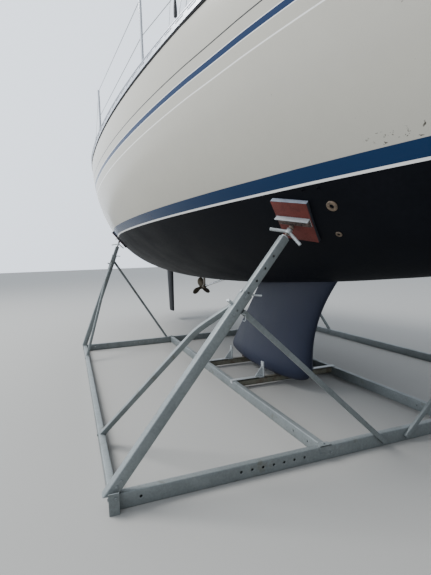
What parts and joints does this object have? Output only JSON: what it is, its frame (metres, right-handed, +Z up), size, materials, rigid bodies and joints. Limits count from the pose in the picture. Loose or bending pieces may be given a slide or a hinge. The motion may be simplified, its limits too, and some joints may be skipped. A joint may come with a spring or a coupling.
{
  "type": "sailing yacht on a yard cradle",
  "caption": "Fin-keeled sailing yacht standing ashore on its galvanised cradle, mast stepped and sails off.",
  "frame": {"origin": "on the floor under the middle of the hull's length, on the centreline", "axes": "+X to the bow, +Y to port, +Z up"},
  "size_m": [11.198, 4.3748, 17.3],
  "materials": {
    "gelcoat": "gloss",
    "deck_paint": "matte",
    "keel_paint": "matte",
    "bottom_paint": "satin",
    "smoked_acrylic": "gloss",
    "anodised": "satin",
    "stainless": "satin",
    "galvanised": "matte",
    "bronze": "satin",
    "teak": "matte",
    "timber": "matte",
    "pad_paint": "matte"
  },
  "bodies": {
    "yacht": {"hull": "gelcoat", "keel": "keel_paint", "deck": "deck_paint", "window_port": "smoked_acrylic", "window_starboard": "smoked_acrylic", "washboard": "teak", "cockpit": "deck_paint", "steering_pedestal": "gelcoat", "propeller_bracket": "bronze", "toe_rail_port": "anodised", "toe_rail_starboard": "anodised", "pulpit": "stainless", "pushpit": "stainless", "lifelines_port": "stainless", "lifelines_starboard": "stainless", "mast": "anodised", "forestay": "stainless", "backstay": "stainless", "shrouds_port": "stainless", "shrouds_starboard": "stainless", "winch_port": "stainless", "winch_starboard": "stainless", "side_rail_port": "galvanised", "side_rail_starboard": "galvanised", "inner_beam_port": "galvanised", "inner_beam_starboard": "galvanised", "cross_beam_fore": "galvanised", "cross_beam_aft": "galvanised", "keel_bearer_fore": "galvanised", "keel_bearer_aft": "galvanised", "keel_block_fore": "timber", "keel_block_aft": "timber", "pad_fore_starboard": "pad_paint", "leg_fore_starboard": "galvanised", "prop_fore_starboard": "galvanised", "cross_brace_fore_starboard": "galvanised", "rail_brace_fore_starboard": "galvanised", "pad_fore_port": "pad_paint", "leg_fore_port": "galvanised", "prop_fore_port": "galvanised", "cross_brace_fore_port": "galvanised", "rail_brace_fore_port": "galvanised", "pad_aft_starboard": "pad_paint", "leg_aft_starboard": "galvanised", "prop_aft_starboard": "galvanised", "cross_brace_aft_starboard": "galvanised", "rail_brace_aft_starboard": "galvanised", "pad_aft_port": "pad_paint", "leg_aft_port": "galvanised", "prop_aft_port": "galvanised", "cross_brace_aft_port": "galvanised", "rail_brace_aft_port": "galvanised"},
    "rudder": {"rudder": "bottom_paint"},
    "steering_wheel": {"steering_wheel": "stainless"},
    "propeller": {"propeller": "bronze"},
    "boom": {"boom": "anodised"},
    "fore_hatch": {"fore_hatch": "smoked_acrylic"},
    "main_hatch": {"main_hatch": "deck_paint"},
    "locker_lid_port": {"locker_lid_port": "teak"},
    "locker_lid_starboard": {"locker_lid_starboard": "teak"}
  },
  "joints": [
    {"name": "rudder_turn", "type": "hinge", "parent": "yacht", "child": "rudder", "pos_m": [-4.33, 0, 1.3], "axis": [0, 0, 1], "range_deg": [-35, 35]},
    {"name": "wheel_turn", "type": "hinge", "parent": "yacht", "child": "steering_wheel", "pos_m": [-3.93, 0, 2.848], "axis": [1, 0, 0], "range_deg": [-455, 455]},
    {"name": "propeller_spin", "type": "hinge", "parent": "yacht", "child": "propeller", "pos_m": [-2.05, 0, 0.93], "axis": [0.9874, 0, 0.158], "continuous": true},
    {"name": "boom_swing", "type": "hinge", "parent": "yacht", "child": "boom", "pos_m": [0.955, 0, 4.12], "axis": [0, 0, 1], "range_deg": [-82, 82]},
    {"name": "fore_hatch_lid", "type": "hinge", "parent": "yacht", "child": "fore_hatch", "pos_m": [3.33, 0, 3.231], "axis": [0, 1, 0], "range_deg": [0, 100]},
    {"name": "main_hatch_slide", "type": "slide", "parent": "yacht", "child": "main_hatch", "axis": [1, 0, 0.0023], "range_m": [0, 0.58]},
    {"name": "locker_lid_port_lift", "type": "hinge", "parent": "yacht", "child": "locker_lid_port", "pos_m": [-2.96, 0.878, 2.718], "axis": [-1, 0, 0], "range_deg": [0, 92]},
    {"name": "locker_lid_starboard_lift", "type": "hinge", "parent": "yacht", "child": "locker_lid_starboard", "pos_m": [-2.96, -0.878, 2.718], "axis": [1, 0, 0], "range_deg": [0, 92]}
  ],
  "couplings": [
    {"joint": "wheel_turn", "follows": "rudder_turn", "ratio": 13}
  ]
}
